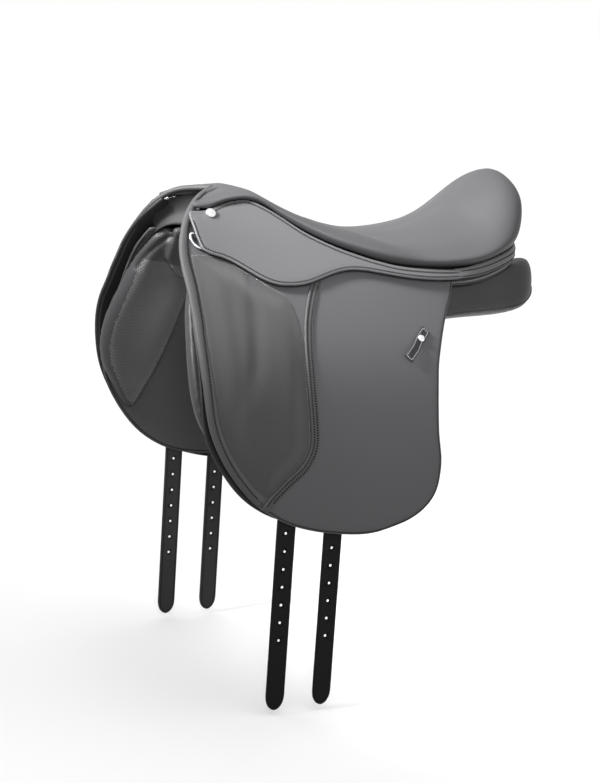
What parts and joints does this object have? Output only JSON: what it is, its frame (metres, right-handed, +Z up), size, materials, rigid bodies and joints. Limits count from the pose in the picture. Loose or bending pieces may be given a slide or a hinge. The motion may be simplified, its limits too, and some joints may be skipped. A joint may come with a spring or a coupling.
{
  "type": "english dressage saddle",
  "caption": "Deep-seated english riding saddle with long straight flaps, knee pads, skirts, twin panels, a gullet channel and punched girth straps.",
  "frame": {"origin": "on the line of the horse's spine, straight below the deepest point of the seat, which is 120 mm above it", "axes": "+X towards the horse's head, +Y towards the near (left) side, +Z up"},
  "size_m": [0.5354, 0.4016, 0.6583],
  "materials": {
    "seat_leather": "soft grained synthetic leather, low sheen",
    "smooth_leather": "smooth synthetic leather, satin",
    "flap_leather": "smooth synthetic leather, satin",
    "panel_leather": "soft synthetic leather, satin",
    "black_leather": "smooth black synthetic leather",
    "suede": "fine-grained suede-like synthetic, matte",
    "webbing": "woven webbing",
    "tree_shell": "moulded plastic tree",
    "steel": "plain steel",
    "chrome": "bright plated"
  },
  "bodies": {
    "saddle_body": {"seat": "seat_leather", "tree": "tree_shell", "head_plate": "steel", "cantle_band": "smooth_leather", "rear_facing": "black_leather", "throat_binding": "smooth_leather", "near_flap_top": "flap_leather", "near_knee_pad_upper": "suede", "near_skirt_band": "smooth_leather", "near_skirt_nail": "chrome", "near_dee_chape": "black_leather", "near_stirrup_bar": "steel", "near_bar_rivet_upper": "steel", "near_bar_rivet_lower": "steel", "near_sweat_flap": "black_leather", "near_knee_block": "suede", "near_panel": "panel_leather", "near_thigh_roll": "suede", "near_girth_web": "webbing", "off_flap_top": "flap_leather", "off_knee_pad_upper": "suede", "off_skirt_band": "smooth_leather", "off_skirt_nail": "chrome", "off_dee_chape": "black_leather", "off_stirrup_bar": "steel", "off_bar_rivet_upper": "steel", "off_bar_rivet_lower": "steel", "off_sweat_flap": "black_leather", "off_knee_block": "suede", "off_panel": "panel_leather", "off_thigh_roll": "suede", "off_girth_web": "webbing"},
    "near_flap_body": {"near_flap": "flap_leather", "near_knee_pad": "suede", "near_piping": "black_leather", "near_flap_keeper": "black_leather", "near_keeper_stud": "chrome"},
    "near_skirt_body": {"near_skirt": "smooth_leather"},
    "near_dee_body": {"near_dee_ring": "chrome"},
    "near_catch_body": {"near_bar_catch": "steel"},
    "near_billet_front_body": {"near_billet_front": "black_leather"},
    "near_billet_rear_body": {"near_billet_rear": "black_leather"},
    "off_flap_body": {"off_flap": "flap_leather", "off_knee_pad": "suede", "off_piping": "black_leather", "off_flap_keeper": "black_leather", "off_keeper_stud": "chrome"},
    "off_skirt_body": {"off_skirt": "smooth_leather"},
    "off_dee_body": {"off_dee_ring": "chrome"},
    "off_catch_body": {"off_bar_catch": "steel"},
    "off_billet_front_body": {"off_billet_front": "black_leather"},
    "off_billet_rear_body": {"off_billet_rear": "black_leather"}
  },
  "joints": [
    {"name": "near_flap_lift", "type": "hinge", "parent": "saddle_body", "child": "near_flap_body", "pos_m": [0.13, 0.141, 0.066], "axis": [1, 0, 0], "range_deg": [0, 65]},
    {"name": "near_skirt_lift", "type": "hinge", "parent": "saddle_body", "child": "near_skirt_body", "pos_m": [0.17, 0.1083, 0.108], "axis": [0.9513, -0.2393, 0.1942], "range_deg": [0, 55]},
    {"name": "near_dee_swing", "type": "hinge", "parent": "saddle_body", "child": "near_dee_body", "pos_m": [0.261, 0.07807, 0.122], "axis": [1, 0, 0], "range_deg": [0, 4]},
    {"name": "near_catch_turn", "type": "hinge", "parent": "saddle_body", "child": "near_catch_body", "pos_m": [0.1215, 0.1122, 0.093], "axis": [0.0793, 0.7921, 0.6052], "range_deg": [0, 65]},
    {"name": "near_billet_front_swing", "type": "hinge", "parent": "saddle_body", "child": "near_billet_front_body", "pos_m": [0.17, 0.1108, 0.074], "axis": [0, 1, 0], "range_deg": [-8, 1]},
    {"name": "near_billet_rear_swing", "type": "hinge", "parent": "saddle_body", "child": "near_billet_rear_body", "pos_m": [0.106, 0.1154, 0.074], "axis": [0, 1, 0], "range_deg": [-1, 8]},
    {"name": "off_flap_lift", "type": "hinge", "parent": "saddle_body", "child": "off_flap_body", "pos_m": [0.13, -0.141, 0.066], "axis": [-1, 0, 0], "range_deg": [0, 65]},
    {"name": "off_skirt_lift", "type": "hinge", "parent": "saddle_body", "child": "off_skirt_body", "pos_m": [0.17, -0.1083, 0.108], "axis": [-0.9513, -0.2393, -0.1942], "range_deg": [0, 55]},
    {"name": "off_dee_swing", "type": "hinge", "parent": "saddle_body", "child": "off_dee_body", "pos_m": [0.261, -0.07807, 0.122], "axis": [-1, 0, 0], "range_deg": [0, 4]},
    {"name": "off_catch_turn", "type": "hinge", "parent": "saddle_body", "child": "off_catch_body", "pos_m": [0.1215, -0.1122, 0.093], "axis": [-0.0793, 0.7921, -0.6052], "range_deg": [0, 65]},
    {"name": "off_billet_front_swing", "type": "hinge", "parent": "saddle_body", "child": "off_billet_front_body", "pos_m": [0.17, -0.1108, 0.074], "axis": [0, 1, 0], "range_deg": [-8, 1]},
    {"name": "off_billet_rear_swing", "type": "hinge", "parent": "saddle_body", "child": "off_billet_rear_body", "pos_m": [0.106, -0.1154, 0.074], "axis": [0, 1, 0], "range_deg": [-1, 8]}
  ]
}
